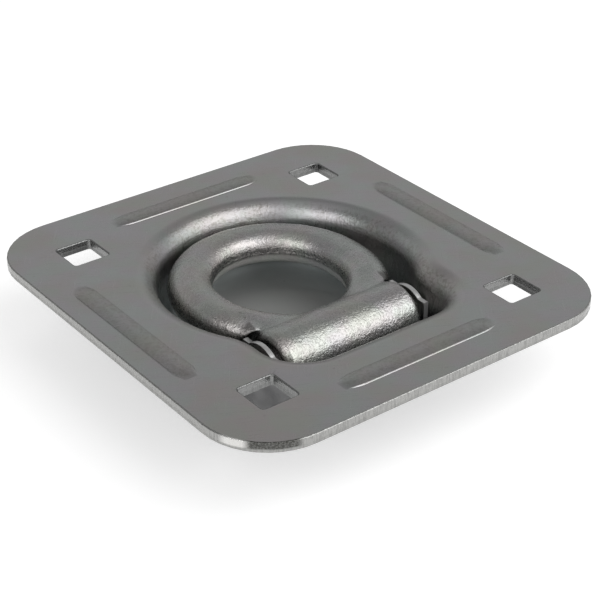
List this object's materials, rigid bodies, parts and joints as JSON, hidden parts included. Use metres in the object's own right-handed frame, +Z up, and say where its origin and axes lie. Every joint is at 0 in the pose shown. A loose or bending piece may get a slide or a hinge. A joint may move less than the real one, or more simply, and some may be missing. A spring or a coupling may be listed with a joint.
{
  "type": "tie-down anchor",
  "caption": "Recessed steel tie-down anchor: a ribbed mounting plate with square bolt holes and a drawn pan, and a forged ring that folds down into the pan on a hinge pin.",
  "frame": {"origin": "middle of the plate's outline, on the underside of the pan floor", "axes": "+Z up out of the mounting plate, +X along the hinge pin, +Y from the hinge towards the free side of the ring"},
  "size_m": [0.1206, 0.127, 0.0266],
  "materials": {
    "zinc_plated_sheet": "bright zinc plating on pressed sheet, satin",
    "zinc_plated_forging": "bright zinc plating over a grainy forged skin",
    "zinc_plated_bar": "bright zinc plating on turned bar"
  },
  "bodies": {
    "pan": {"pan_plate": "zinc_plated_sheet", "left_lug": "zinc_plated_sheet", "right_lug": "zinc_plated_sheet", "hinge_pin": "zinc_plated_bar"},
    "ring": {"ring": "zinc_plated_forging"}
  },
  "joints": [
    {"name": "ring_hinge", "type": "hinge", "parent": "pan", "child": "ring", "pos_m": [0, -0.0193, 0.0134], "axis": [1, 0, 0], "range_deg": [0, 107]}
  ]
}
